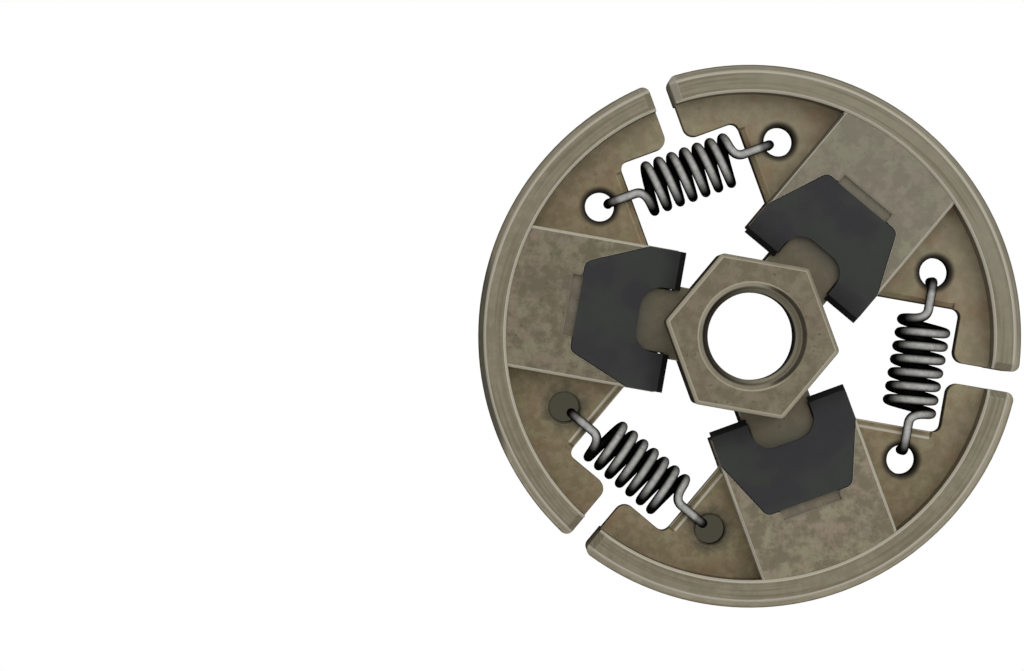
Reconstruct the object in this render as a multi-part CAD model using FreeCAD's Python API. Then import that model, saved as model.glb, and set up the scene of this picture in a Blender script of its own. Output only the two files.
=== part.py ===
import FreeCAD, Part
import math
import os
from FreeCAD import Vector

# Centrifugal clutch of a chainsaw. A screw-on carrier has three arms, and a friction shoe slides out along
# each arm on a moulded retainer. Tension springs between the shoes pull them back in.
# The origin is on the axis at the back face, +Z points to the hexagon, and lengths are in millimetres.

# Whole clutch
SHOE_COUNT = 3
FIRST_ARM_DEG = 50.0        # azimuth of the first arm, counted from +X
OUTER_R = 34.0              # friction rim with the shoes drawn in
GAP = 2.6                   # between the ends of two shoes

# Carrier: hexagon, hub and arms in one piece
HEX_FLATS = 19.0
HEX_CORNER_R = 0.7
HEX_CHAMFER = 0.4
CARRIER_H = 18.0
HEX_BACK = 5.5              # the hexagon ends here, on a round hub
HUB_R = 9.2
THREAD_R = 6.0              # M12 nominal, the wall of the bore
BORE_CHAMFER = 0.7
ARM_W = 8.0
ARM_CLEAR = 0.15            # arm to the retainer's plates, front and back
ARM_TIP = 19.3              # reach of an arm from the axis
ARM_TIP_BEVEL = 0.8
ARM_ROOT_W = 9.2            # arm beside the hexagon
ARM_ROOT_CLEAR = 0.3        # arm root to the retainer's lining

# Friction shoe
RIM_H = 12.5
RIM_T = 3.5
RIM_CHAMFER = 0.9
RIM_END_R = 1.0
EDGE_BREAK = 0.3            # small bevel on the front of the rim's inner edge, the pad and the hook holes
PAD_W = 18.0                # raised pad over the arm
PAD_DROP = 0.4              # the pad's faces lie under the rim's
WEB_T = 3.6                 # thin web between pad and rim
SEAT_CORNER_R = 1.0         # corner between a spring seat and the toe
TOE_CORNER_R = 1.4          # the toe's corner beside the gap
LEG_CLEAR = 1.1             # from the legs beside the arm to the hexagon's flats

# Retainer: two plates joined by the lining of the shoe's slot
LINING_T = 0.9
SLIDE_CLEAR = 0.1           # arm to lining, on each side
SEAT_CLEAR = 0.1            # retainer to shoe
PLATE_T = 1.0
PLATE_DROP = 0.1            # the plates' faces lie under the rim's
PLATE_TOP_Y = 21.8
PLATE_TOP_HALF = 5.6
PLATE_TOP_R = 1.0           # on the front plate, the back plate's corners are square
PLATE_SHOULDER_Y = 14.0
PLATE_LEG_INSET = 0.1       # from the pad's sides
PLATE_LEG_OVER = 1.0        # front plate past the ends of the shoe's legs
PLATE_LEG_BEVEL = 0.7
WINDOW_ROOT_Y = 14.2        # the plates are open over the arm up to here
WINDOW_ROOT_R = 2.6
WINDOW_LIP = 0.5            # back plate under the arm, on each side
NOTCH_HALF = 3.85           # notch above the plate, for drawing the retainer off
NOTCH_REACH = 1.3

# Tension spring, hooked into the webs of two shoes
WIRE_D = 1.2
COIL_D = 7.0                # outside of the coil
COIL_PITCH = 1.72
COIL_TURNS = 7.0
SPRING_DEPTH = 12.25        # from the friction rim in to the spring's own axis
COIL_SIDE_CLEAR = 0.7       # coil to the rim's toes
COIL_END_CLEAR = 1.22       # coil to the spring seats
SEAT_BEVEL = 0.8            # on the web's edges under the hooks
HOOK_HOLE_D = 3.7
HOOK_LAND = 4.15            # from a spring seat to the middle of its hook hole
HOOK_CLEAR = 0.05           # wire to web and to the hole's wall
HOOK_LEAD = 1.27            # from the coil's end to the straight part of the hook
LEAD_DEG = 60.0             # the wire leaves the coil this far before the coil's end
LEAD_PULL = 1.5             # roundness of the bend from the coil to a hook
HOOK_TAIL = 1.0             # end of the wire behind the web
WIRE_SIDES = 6              # flats around the wire
WIRE_STEPS = 9              # straight stretches in one turn
LEAD_STEPS = 4              # in the bend from the coil to a hook
BEND_STEPS = 2              # in the bend from a hook into its hole

# Worked out from the sizes above
HALF_PITCH = math.radians(180.0 / SHOE_COUNT)
MID_Z = RIM_H / 2
WEB_TOP = MID_Z + WEB_T / 2
WEB_BOTTOM = MID_Z - WEB_T / 2
RIM_INNER_R = OUTER_R - RIM_T
PAD_HALF = PAD_W / 2
LEG_END_Y = HEX_FLATS / 2 + LEG_CLEAR
POCKET_HALF = ARM_W / 2 + SLIDE_CLEAR
LINING_HALF = POCKET_HALF + LINING_T
SLOT_HALF = LINING_HALF + SEAT_CLEAR
POCKET_END_Y = ARM_TIP + SLIDE_CLEAR
LINING_END_Y = POCKET_END_Y + LINING_T
SLOT_END_Y = LINING_END_Y + SEAT_CLEAR
PLATE_TOP = RIM_H - PLATE_DROP
PLATE_FLOOR = PLATE_TOP - PLATE_T
ARM_TOP = PLATE_FLOOR - ARM_CLEAR
ARM_BOTTOM = RIM_H - ARM_TOP
PLATE_LEG_HALF = PAD_HALF - PLATE_LEG_INSET
PLATE_LEG_END_Y = LEG_END_Y - PLATE_LEG_OVER
PLATE_RUN = (PLATE_LEG_HALF - PLATE_TOP_HALF) / (PLATE_TOP_Y - PLATE_SHOULDER_Y)
WIRE_R = WIRE_D / 2
COIL_R = COIL_D / 2 - WIRE_R
COIL_HALF = COIL_TURNS * COIL_PITCH / 2
SPRING_R = OUTER_R - SPRING_DEPTH
TOE_INNER = SPRING_R + COIL_D / 2 + COIL_SIDE_CLEAR
SEAT_HALF = COIL_HALF + WIRE_R + COIL_END_CLEAR
HOOK_HOLE_W = SEAT_HALF + HOOK_LAND
HOOK_W = HOOK_HOLE_W - HOOK_HOLE_D / 2 + WIRE_R + HOOK_CLEAR
HOOK_Z = WEB_TOP + WIRE_R + HOOK_CLEAR
HOOK_BEND_R = WIRE_R + EDGE_BREAK
BEYOND = 5.0                # cutters run this far past what they cut


def chain(corners):
    """Edges in the XY plane from the first corner to the last, each (x, y, radius) between rounded."""
    edges = []
    last = Vector(corners[0][0], corners[0][1], 0)
    for before, corner, after in zip(corners, corners[1:], corners[2:]):
        here = Vector(corner[0], corner[1], 0)
        radius = corner[2]
        back = (Vector(before[0], before[1], 0) - here).normalize()
        ahead = (Vector(after[0], after[1], 0) - here).normalize()
        half_angle = back.getAngle(ahead) / 2
        reach = radius / math.tan(half_angle)
        start = here + back * reach
        edges.append(Part.makeLine(last, start))
        last = start
        if radius > 0:
            inward = (back + ahead).normalize()
            middle = here + inward * (radius / math.sin(half_angle) - radius)
            last = here + ahead * reach
            edges.append(Part.Arc(start, middle, last).toShape())
    edges.append(Part.makeLine(last, Vector(corners[-1][0], corners[-1][1], 0)))
    return edges


def prism(edges, z_low, z_high):
    """Closed plan outline of edges, raised from z_low to z_high."""
    face = Part.Face(Part.Wire(Part.__sortEdges__(edges)))
    face.translate(Vector(0, 0, z_low))
    return face.extrude(Vector(0, 0, z_high - z_low))


def closed_prism(corners, z_low, z_high):
    """Prism on a closed outline whose corners (x, y, radius) are all rounded."""
    first, second = corners[0], corners[1]
    middle = ((first[0] + second[0]) / 2, (first[1] + second[1]) / 2, 0)
    loop = [middle] + list(corners[1:]) + [first, middle]
    return prism(chain(loop), z_low, z_high)


def mirrored(right_side):
    """Whole outline, symmetric about the Y axis, from the corners of its right side, top to bottom."""
    left_side = [(-x, y, radius) for x, y, radius in reversed(right_side)]
    return list(right_side) + left_side


def box(x_low, x_high, y_low, y_high, z_low, z_high):
    """Box between two opposite corners."""
    return Part.makeBox(x_high - x_low, y_high - y_low, z_high - z_low, Vector(x_low, y_low, z_low))


def disc(radius, z_low, z_high, x=0.0, y=0.0):
    """Upright cylinder."""
    return Part.makeCylinder(radius, z_high - z_low, Vector(x, y, z_low))


def ring(section):
    """Ring turned about Z from a section given as (radius, z) corners."""
    points = [Vector(radius, 0, z) for radius, z in section]
    face = Part.Face(Part.makePolygon(points + points[:1]))
    return face.revolve(Vector(0, 0, 0), Vector(0, 0, 1), 360)


def flipped(shape):
    """Copy of a shape, mirrored front to back about the middle of the shoe's thickness."""
    return shape.mirror(Vector(0, 0, MID_Z), Vector(0, 0, 1))


def front_and_back(shape):
    """A cutter for the front face together with its mirror image for the back."""
    return [shape, flipped(shape)]


def gap_point(side, along, inset):
    """Plan point beside a shoe's gap: distance along the gap's radius, and inset into the shoe."""
    x = along * math.sin(HALF_PITCH) - inset * math.cos(HALF_PITCH)
    y = along * math.cos(HALF_PITCH) + inset * math.sin(HALF_PITCH)
    return side * x, y


def turned(shape, azimuth):
    """Copy of a shape that points along +Y, turned to point along an azimuth."""
    copy = shape.copy()
    copy.rotate(Vector(0, 0, 0), Vector(0, 0, 1), azimuth - 90)
    return copy


def make_carrier():
    """Hexagon on a round hub, with three arms and the through bore."""
    corner_r = HEX_FLATS / 2 / math.cos(math.radians(30))
    corners = []
    for i in range(6):
        angle = math.radians(FIRST_ARM_DEG - 60 * i)
        corners.append((corner_r * math.cos(angle), corner_r * math.sin(angle), HEX_CORNER_R))
    hexagon = closed_prism(corners, HEX_BACK, CARRIER_H)
    crown = [edge for edge in hexagon.Edges if edge.BoundBox.ZMin > CARRIER_H - HEX_CHAMFER]
    carrier = hexagon.makeChamfer(HEX_CHAMFER, crown)
    arm_half = ARM_W / 2
    root_half = ARM_ROOT_W / 2
    root_end = LEG_END_Y - ARM_ROOT_CLEAR
    arm_outline = mirrored([(arm_half - ARM_TIP_BEVEL, ARM_TIP, 0), (arm_half, ARM_TIP - ARM_TIP_BEVEL, 0),
                            (arm_half, root_end, 0), (root_half, root_end, 0), (root_half, 0, 0)])
    arm = closed_prism(arm_outline, ARM_BOTTOM, ARM_TOP)
    arms = [turned(arm, FIRST_ARM_DEG + 360.0 * i / SHOE_COUNT) for i in range(SHOE_COUNT)]
    carrier = carrier.fuse(arms + [disc(HUB_R, 0, HEX_BACK)]).removeSplitter()
    mouth_r = THREAD_R + BORE_CHAMFER
    bore = ring([(0, -BEYOND), (mouth_r, -BEYOND), (mouth_r, 0), (THREAD_R, BORE_CHAMFER),
                 (THREAD_R, CARRIER_H - BORE_CHAMFER), (mouth_r, CARRIER_H),
                 (mouth_r, CARRIER_H + BEYOND), (0, CARRIER_H + BEYOND)])
    return carrier.cut(bore)


def shoe_plan():
    """Plan outline of a shoe: rim arc with rounded ends, toes, spring seats and the legs beside the arm."""
    centre_r = OUTER_R - RIM_END_R
    centre_inset = GAP / 2 + RIM_END_R
    centre_along = math.sqrt(centre_r ** 2 - centre_inset ** 2)
    seat_foot = (PAD_HALF + SEAT_HALF * math.cos(HALF_PITCH)) / math.sin(HALF_PITCH)
    right_side = [gap_point(1, centre_along, GAP / 2) + (0,),
                  gap_point(1, TOE_INNER, GAP / 2) + (TOE_CORNER_R,),
                  gap_point(1, TOE_INNER, SEAT_HALF) + (SEAT_CORNER_R,),
                  gap_point(1, seat_foot, SEAT_HALF) + (0,),
                  (PAD_HALF, LEG_END_Y, 0),
                  (SLOT_HALF, LEG_END_Y, 0),
                  (SLOT_HALF, SLOT_END_Y, 0)]
    edges = chain(mirrored(right_side))
    rim_ends = []
    for side in (1, -1):
        centre = Vector(*gap_point(side, centre_along, centre_inset), 0)
        on_gap = Vector(*gap_point(side, centre_along, GAP / 2), 0)
        on_rim = centre * (OUTER_R / centre_r)
        outward = (on_gap + on_rim - centre * 2).normalize()
        edges.append(Part.Arc(on_gap, centre + outward * RIM_END_R, on_rim).toShape())
        rim_ends.append(on_rim)
    edges.append(Part.Arc(rim_ends[0], Vector(0, OUTER_R, 0), rim_ends[1]).toShape())
    return edges


def plate_half(y, grow):
    """Half width of the retainer plate's sloping sides at a height y, grown by a clearance."""
    return PLATE_TOP_HALF + PLATE_RUN * (PLATE_TOP_Y - y) + grow * math.hypot(1, PLATE_RUN)


def make_shoe():
    """Sintered shoe along +Y: rim, raised pad and thin webs, with the slot and seat for its retainer."""
    blank = prism(shoe_plan(), 0, RIM_H)
    rim_edges = [edge for edge in blank.Edges
                 if edge.BoundBox.ZLength < EDGE_BREAK and edge.BoundBox.XLength > OUTER_R]
    shoe = blank.makeChamfer(RIM_CHAMFER, rim_edges)
    web_side = disc(RIM_INNER_R, WEB_TOP, RIM_H + BEYOND)
    pad_strip = box(-PAD_HALF, PAD_HALF, 0, OUTER_R, WEB_BOTTOM, RIM_H + BEYOND)
    web_side = web_side.cut(pad_strip)
    pad_skim = disc(RIM_INNER_R, RIM_H - PAD_DROP, RIM_H + BEYOND).common(pad_strip)
    inner_break = ring([(RIM_INNER_R, RIM_H - EDGE_BREAK), (RIM_INNER_R + EDGE_BREAK, RIM_H),
                        (RIM_INNER_R + EDGE_BREAK, RIM_H + BEYOND), (0, RIM_H + BEYOND),
                        (0, RIM_H - EDGE_BREAK)])
    inner_break = inner_break.cut(disc(RIM_INNER_R, 0, RIM_H + BEYOND))
    cutters = front_and_back(web_side) + front_and_back(pad_skim)
    cutters += [retainer_seat(PLATE_TOP_R + SEAT_CLEAR), flipped(retainer_seat(0))]
    cutters += [retainer_notch(), inner_break]
    for side in (1, -1):
        cutters += front_and_back(seat_bevel(side)) + [pad_break(side)] + hook_hole(side)
    return shoe.cut(cutters).removeSplitter()


def retainer_seat(top_r):
    """Recess in the front of the pad for a retainer plate, with its top corners rounded."""
    top_y = PLATE_TOP_Y + SEAT_CLEAR
    low_y = LEG_END_Y - BEYOND
    outline = mirrored([(plate_half(top_y, SEAT_CLEAR), top_y, top_r),
                        (plate_half(low_y, SEAT_CLEAR), low_y, 0)])
    return closed_prism(outline, PLATE_FLOOR, RIM_H + BEYOND)


def retainer_notch():
    """Notch in the front of the pad above the plate, as deep as the plate's seat."""
    return box(-NOTCH_HALF, NOTCH_HALF, SLOT_END_Y, PLATE_TOP_Y + NOTCH_REACH, PLATE_FLOOR, RIM_H + BEYOND)


def pad_break(side):
    """Small bevel along one side edge of the pad's front."""
    pad_top = RIM_H - PAD_DROP
    edge_x = side * PAD_HALF
    points = [Vector(edge_x - side * EDGE_BREAK, 0, pad_top), Vector(edge_x, 0, pad_top - EDGE_BREAK),
              Vector(edge_x + side * EDGE_BREAK, 0, pad_top)]
    face = Part.Face(Part.makePolygon(points + points[:1]))
    return face.extrude(Vector(0, OUTER_R, 0)).common(disc(RIM_INNER_R, 0, RIM_H))


def seat_bevel(side):
    """Bevel on the web's front edge along a spring seat, up to the rounded corner at the toe."""
    wedge_corners = [(SEAT_HALF, WEB_TOP - SEAT_BEVEL), (SEAT_HALF + SEAT_BEVEL, WEB_TOP),
                     (SEAT_HALF + SEAT_BEVEL, WEB_TOP + BEYOND), (SEAT_HALF - SEAT_BEVEL, WEB_TOP + BEYOND),
                     (SEAT_HALF - SEAT_BEVEL, WEB_TOP - SEAT_BEVEL)]
    along_low = 0
    along_high = TOE_INNER - SEAT_CORNER_R
    points = [Vector(*gap_point(side, along_low, inset), z) for inset, z in wedge_corners]
    face = Part.Face(Part.makePolygon(points + points[:1]))
    run = Vector(*gap_point(side, along_high - along_low, 0), 0)
    pad_strip = box(-PAD_HALF, PAD_HALF, 0, OUTER_R, 0, RIM_H + BEYOND)
    return face.extrude(run).cut(pad_strip)


def hook_hole(side):
    """Through hole in the web for a spring's hook, bevelled where the hook goes in."""
    x, y = gap_point(side, SPRING_R, HOOK_HOLE_W)
    hole_r = HOOK_HOLE_D / 2
    hole = disc(hole_r, WEB_BOTTOM - BEYOND, WEB_TOP + BEYOND, x, y)
    mouth = Part.makeCone(hole_r, hole_r + EDGE_BREAK, EDGE_BREAK, Vector(x, y, WEB_TOP - EDGE_BREAK))
    return [hole, mouth]


def retainer_plate(leg_end_y, top_r, window_half, root_r):
    """Front plate of a retainer, open over the arm, with its legs down to leg_end_y."""
    outline = mirrored([(PLATE_TOP_HALF, PLATE_TOP_Y, top_r), (PLATE_LEG_HALF, PLATE_SHOULDER_Y, 0),
                        (PLATE_LEG_HALF, leg_end_y, 0)])
    window = mirrored([(window_half, WINDOW_ROOT_Y, root_r), (window_half, 0, 0)])
    plate = closed_prism(outline, PLATE_FLOOR, PLATE_TOP)
    return plate.cut(closed_prism(window, PLATE_FLOOR - BEYOND, PLATE_TOP + BEYOND))


def make_retainer():
    """Moulded retainer along +Y: front and back plates and the lining of the shoe's slot between them."""
    bevel_points = [Vector(-OUTER_R, PLATE_LEG_END_Y, PLATE_TOP - PLATE_LEG_BEVEL),
                    Vector(-OUTER_R, PLATE_LEG_END_Y + PLATE_LEG_BEVEL, PLATE_TOP),
                    Vector(-OUTER_R, PLATE_LEG_END_Y, PLATE_TOP)]
    bevel = Part.Face(Part.makePolygon(bevel_points + bevel_points[:1])).extrude(Vector(2 * OUTER_R, 0, 0))
    front = retainer_plate(PLATE_LEG_END_Y, PLATE_TOP_R, POCKET_HALF, WINDOW_ROOT_R).cut(bevel)
    back = flipped(retainer_plate(LEG_END_Y, 0, ARM_W / 2 - WINDOW_LIP, 0))
    lining_low = RIM_H - PLATE_FLOOR
    lining = box(-LINING_HALF, LINING_HALF, LEG_END_Y, LINING_END_Y, lining_low, PLATE_FLOOR)
    lining = lining.cut(box(-POCKET_HALF, POCKET_HALF, 0, POCKET_END_Y, lining_low, PLATE_FLOOR))
    return lining.fuse([front, back]).removeSplitter()


def coil_point(angle):
    """Point of the coil's middle line, with the spring's axis along +X and its middle at the origin.

    The coil is a right-hand helix that passes the back, -Z, at its middle and the front, +Z, at its ends.
    """
    along = COIL_PITCH * angle / (2 * math.pi)
    return Vector(along, COIL_R * math.sin(angle), -COIL_R * math.cos(angle))


def swept_bend(start, start_pull, end_pull, end, steps):
    """Points of a cubic curve from start to end, after start itself, drawn by its two pull points."""
    points = []
    for i in range(1, steps + 1):
        t = i / steps
        s = 1 - t
        near = start * s ** 3 + start_pull * (3 * s * s * t)
        far = end_pull * (3 * s * t * t) + end * t ** 3
        points.append(near + far)
    return points


def spring_path():
    """Middle line of the spring's wire: the coil, and at each end a bend up to the hook over the web.

    Half of the line runs from the coil's middle to the tail of the +X hook. The other half is the same
    line turned by half a turn about Z.
    """
    end_angle = math.pi * COIL_TURNS - math.radians(LEAD_DEG)
    steps = math.ceil(WIRE_STEPS * end_angle / (2 * math.pi))
    half_line = [coil_point(end_angle * i / steps) for i in range(steps + 1)]
    coil_end = half_line[-1]
    leaving = (coil_end - coil_point(end_angle - math.radians(1))).normalize()
    hook_z = HOOK_Z - MID_Z
    hook_start = Vector(COIL_HALF + HOOK_LEAD, 0, hook_z)
    half_line += swept_bend(coil_end, coil_end + leaving * LEAD_PULL, hook_start - Vector(LEAD_PULL, 0, 0),
                            hook_start, LEAD_STEPS)
    for i in range(BEND_STEPS + 1):
        angle = math.pi / 2 * i / BEND_STEPS
        half_line.append(Vector(HOOK_W - HOOK_BEND_R * (1 - math.sin(angle)), 0,
                                hook_z - HOOK_BEND_R * (1 - math.cos(angle))))
    half_line.append(Vector(HOOK_W, 0, WEB_BOTTOM - MID_Z - HOOK_TAIL))
    other_half = [Vector(-point.x, -point.y, point.z) for point in reversed(half_line[1:])]
    return other_half + half_line


def wire_solid(path):
    """Wire along straight stretches, mitred where two stretches meet, so that every side face is flat."""
    runs = [(after - before).normalize() for before, after in zip(path, path[1:])]
    across = runs[0].cross(Vector(0, 1, 0)).normalize()
    upward = across.cross(runs[0])
    section = []
    for i in range(WIRE_SIDES):
        angle = 2 * math.pi * i / WIRE_SIDES
        section.append(path[0] + across * (WIRE_R * math.cos(angle)) + upward * (WIRE_R * math.sin(angle)))
    faces = [Part.Face(Part.makePolygon(section + section[:1]))]
    for i, run in enumerate(runs):
        mitre = run + runs[i + 1] if i + 1 < len(runs) else run
        joint = path[i + 1]
        following = [corner + run * ((joint - corner).dot(mitre) / run.dot(mitre)) for corner in section]
        for k in range(WIRE_SIDES):
            side = [section[k - 1], section[k], following[k], following[k - 1], section[k - 1]]
            faces.append(Part.Face(Part.makePolygon(side)))
        section = following
    faces.append(Part.Face(Part.makePolygon(section + section[:1])))
    shell = Part.Shell(faces)
    shell.sewShape()
    return Part.Solid(Part.Shell(shell.Faces))


def make_spring():
    """Tension spring along +X, at its place beside the +Y axis."""
    spring = wire_solid(spring_path())
    spring.translate(Vector(0, SPRING_R, MID_Z))
    return spring


def main():
    os.makedirs("parts", exist_ok=True)
    make_carrier().exportStep("parts/clutch_carrier.step")
    shoe = make_shoe()
    retainer = make_retainer()
    spring = make_spring()
    pitch = 360.0 / SHOE_COUNT
    for i in range(SHOE_COUNT):
        arm_deg = FIRST_ARM_DEG + pitch * i
        turned(shoe, arm_deg).exportStep("parts/shoe_%d.step" % (i + 1))
        turned(retainer, arm_deg).exportStep("parts/retainer_%d.step" % (i + 1))
        turned(spring, arm_deg + pitch / 2).exportStep("parts/tension_spring_%d.step" % (i + 1))


main()
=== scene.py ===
import math
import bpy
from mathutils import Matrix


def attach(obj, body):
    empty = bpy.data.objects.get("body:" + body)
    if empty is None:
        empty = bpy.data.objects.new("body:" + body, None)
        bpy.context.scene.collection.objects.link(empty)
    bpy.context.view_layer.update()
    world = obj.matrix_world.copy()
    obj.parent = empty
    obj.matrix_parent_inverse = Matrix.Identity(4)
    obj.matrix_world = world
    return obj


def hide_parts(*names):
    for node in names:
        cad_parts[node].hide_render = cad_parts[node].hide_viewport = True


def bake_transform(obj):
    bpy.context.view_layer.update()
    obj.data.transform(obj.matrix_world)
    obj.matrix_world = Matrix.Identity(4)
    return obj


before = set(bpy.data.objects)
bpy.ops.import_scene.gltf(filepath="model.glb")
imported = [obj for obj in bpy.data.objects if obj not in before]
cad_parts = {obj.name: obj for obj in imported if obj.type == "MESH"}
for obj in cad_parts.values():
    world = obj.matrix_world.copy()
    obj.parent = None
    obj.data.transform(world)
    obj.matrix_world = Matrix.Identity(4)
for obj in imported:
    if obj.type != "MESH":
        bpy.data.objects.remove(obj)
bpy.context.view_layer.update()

from types import SimpleNamespace

import bmesh
import bpy
import numpy as np

# The looks of a chainsaw clutch: eased copies of the CAD's steel and plastic pieces, springs of round wire,
# the thread in the bore, and the stage that they are seen on. Lengths are in metres.
MM = 0.001

# Sizes of the clutch, the same as in the part's source
SHOE_COUNT = 3
FIRST_ARM = math.radians(50.0)
OUTER_R = 34.0 * MM
CARRIER_H = 18.0 * MM
THREAD_R = 6.0 * MM
BORE_CHAMFER = 0.7 * MM
RIM_H = 12.5 * MM
RIM_T = 3.5 * MM
RIM_CHAMFER = 0.9 * MM
EDGE_BREAK = 0.3 * MM
PAD_W = 18.0 * MM
WEB_T = 3.6 * MM
SEAT_BEVEL = 0.8 * MM
PLATE_TOP_Y = 21.8 * MM
NOTCH_HALF = 3.85 * MM
NOTCH_REACH = 1.3 * MM
WIRE_D = 1.2 * MM
COIL_D = 7.0 * MM
COIL_PITCH = 1.72 * MM
COIL_TURNS = 7.0
SPRING_DEPTH = 12.25 * MM
COIL_END_CLEAR = 1.22 * MM
HOOK_HOLE_D = 3.7 * MM
HOOK_LAND = 4.15 * MM
HOOK_CLEAR = 0.05 * MM
HOOK_LEAD = 1.27 * MM
LEAD_ANGLE = math.radians(60.0)
LEAD_PULL = 1.5 * MM
HOOK_TAIL = 1.0 * MM

# Worked out from the sizes above
PITCH = 2 * math.pi / SHOE_COUNT
MID_Z = RIM_H / 2
WEB_TOP = MID_Z + WEB_T / 2
WEB_BOTTOM = MID_Z - WEB_T / 2
RIM_INNER_R = OUTER_R - RIM_T
RIM_CHAMFER_R = OUTER_R - RIM_CHAMFER
PAD_HALF = PAD_W / 2
NOTCH_END = PLATE_TOP_Y + NOTCH_REACH
WIRE_R = WIRE_D / 2
COIL_R = COIL_D / 2 - WIRE_R
COIL_HALF = COIL_TURNS * COIL_PITCH / 2
SPRING_R = OUTER_R - SPRING_DEPTH
SEAT_HALF = COIL_HALF + WIRE_R + COIL_END_CLEAR
HOOK_HOLE_R = HOOK_HOLE_D / 2
HOOK_HOLE_W = SEAT_HALF + HOOK_LAND
HOOK_W = HOOK_HOLE_W - HOOK_HOLE_R + WIRE_R + HOOK_CLEAR
HOOK_Z = WEB_TOP + WIRE_R + HOOK_CLEAR
HOOK_BEND_R = WIRE_R + EDGE_BREAK

# Read off the shoes: the rim's rounded ends lie this near a gap's middle, and spring seats end this far out
RIM_END = 2.2 * MM
SEAT_TOP = 24.6 * MM

# Eased copies
STEEL_EASE = 0.13 * MM
PLASTIC_EASE = 0.16 * MM
MERGE = 0.02 * MM
SLIVER = 0.001 * MM
LEVEL = math.radians(0.5)
SHARP = math.radians(30.0)

# Spring wire: points along it, its cut end, and where its painted highlight lies
WIRE_SIDES = 18
COIL_POINTS = 131
LEAD_POINTS = 21
BEND_POINTS = 9
TAIL_POINTS = 6
CUT_END = 0.72
CUT_DOME = 0.1
HIGHLIGHT_SPAN = (0.6, 1.0)
HIGHLIGHT_LEAN = 0.4
FRONT_SPAN = (0.4, 0.9)
HOOK_SHINE = 1.5
HOOK_DARK = 0.6 * MM
BEND_SHINE = 0.4
BEND_FADE = 6

# Thread in the bore
THREAD_PITCH = 1.0 * MM
THREAD_DEPTH = 0.54 * MM
THREAD_LOW = 9.6 * MM
THREAD_SKIN = 0.01 * MM
THREAD_ROWS = 121
THREAD_COLUMNS = 72
FLANK_SLOPE = 1.3
ROOT_FLAT = 0.15

# Stage, light and camera. The camera's place and focal length are the photograph's.
FLOOR_HALF = 1.5
FLOOR_LEVEL = -0.01 * MM
# Span of the painted shadows on the floor under two hook holes
HOLE_SHADOW_SPAN = (3.4 * MM, 2.6 * MM)
KEY_SIZE = 0.9
KEY_POWER = 1.6
KEY_PLACE = (0.243, 0.346, 0.795)
TENT_RISE = (-0.05, 0.55)
SENSOR_MM = 36.0
PHOTO_WIDTH_PX = 1024
FOCAL_PX = 4160
CAMERA_PLACE = (-29.76 * MM, 0.09 * MM, 532.5 * MM)


def level_way(angle):
    """Level unit direction at an angle counted from +X."""
    return (math.cos(angle), math.sin(angle), 0.0)


# Directions that the finish follows: right, up, the first arm, square to it, and the side given painted shade
RIGHT_WAY = (1.0, 0.0, 0.0)
UP_WAY = (0.0, 1.0, 0.0)
ARM_WAY = level_way(FIRST_ARM)
SQUARE_WAY = level_way(FIRST_ARM + math.pi / 2)
SHADED_WAY = level_way(math.radians(184.0))

# Noise in the finish: features per metre, detail and roughness
MOTTLE_NOISE = (150.0, 2.0, 0.6)
FINE_NOISE = (620.0, 3.0, 0.65)
HUE_NOISE = (240.0, 2.0, 0.5)
HUE_SHIFT = (0.3, 0.1, 0.2)
GRAIN_NOISE = (1500.0, 4.0, 0.7)
PORE_NOISE = (1900.0, 2.0, 0.6)
PLASTIC_BROAD_NOISE = (160.0, 2.0, 0.5)
PLASTIC_FINE_NOISE = (2200.0, 3.0, 0.6)
WIRE_NOISE = (1800.0, 2.0, 0.5)
STREAK_NOISE = (1.0, 2.0, 0.5)
STREAK_ROUND = (60.0, 60.0, 0.0)
STREAK_ACROSS = 2600.0

# Roughness and sheen: how far they follow a noise or the rubbing, and their least value
STEEL_ROUGH = (0.25, 0.45)
PLASTIC_ROUGH = (0.2, 0.45)
WIRE_ROUGH = (0.15, 0.35)
WIRE_SHEEN = (0.4, 0.1)
TABLE_ROUGH = 0.9

# Bumps: height of the grain and strength
STEEL_BUMP = (0.02 * MM, 0.6)
PLASTIC_BUMP = (0.02 * MM, 0.4)

# Spans of the masks: each is 0 at the first value and 1 at the second. The bands, with three values, are 1
# between the first two and fall to 0 over the third.
EDGE_BAND = (0.40, 0.96, 0.03)
UPRIGHT_SPAN = (0.45, 0.15)
LEFTWARD_SPAN = (-0.1, -0.4)
UPPER_LEFT_SPAN = (0.45, 0.6)
LIGHTWARD_SPAN = (0.1, 0.5)
HUE_SPAN = (0.36, 0.64)
PATCH_SPAN = (0.60, 0.40)
PORE_SPAN = (0.36, 0.26)
RUST_SPAN = (0.5, 0.66)
STREAK_SPAN = (0.56, 0.36)
WIRE_STREAK_SPAN = (0.3, 0.7)

# On the shoes
UPPER_SPAN = (-6.0 * MM, 2.0 * MM)
LIT_SPAN = (-10.0 * MM, 32.0 * MM)
WEB_SPAN = (WEB_TOP + 0.4 * MM, WEB_TOP)
LIT_WEB_SPAN = (2.0 * MM, 14.0 * MM)
OUTER_WEB_SPAN = (20.0 * MM, 26.0 * MM)
UPPER_LEFT_PAD_SPAN = (4.0 * MM, 16.0 * MM)
LOWER_RIGHT_PAD_SPAN = (-4.0 * MM, -16.0 * MM)
PAD_LINE_BAND = (PAD_HALF - EDGE_BREAK, PAD_HALF, 0.06 * MM)
# Pad side that gets painted shade
PAD_SIDE_SHADE_BAND = (PAD_HALF - 0.5 * MM, PAD_HALF + 0.1 * MM, 0.05 * MM)
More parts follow.
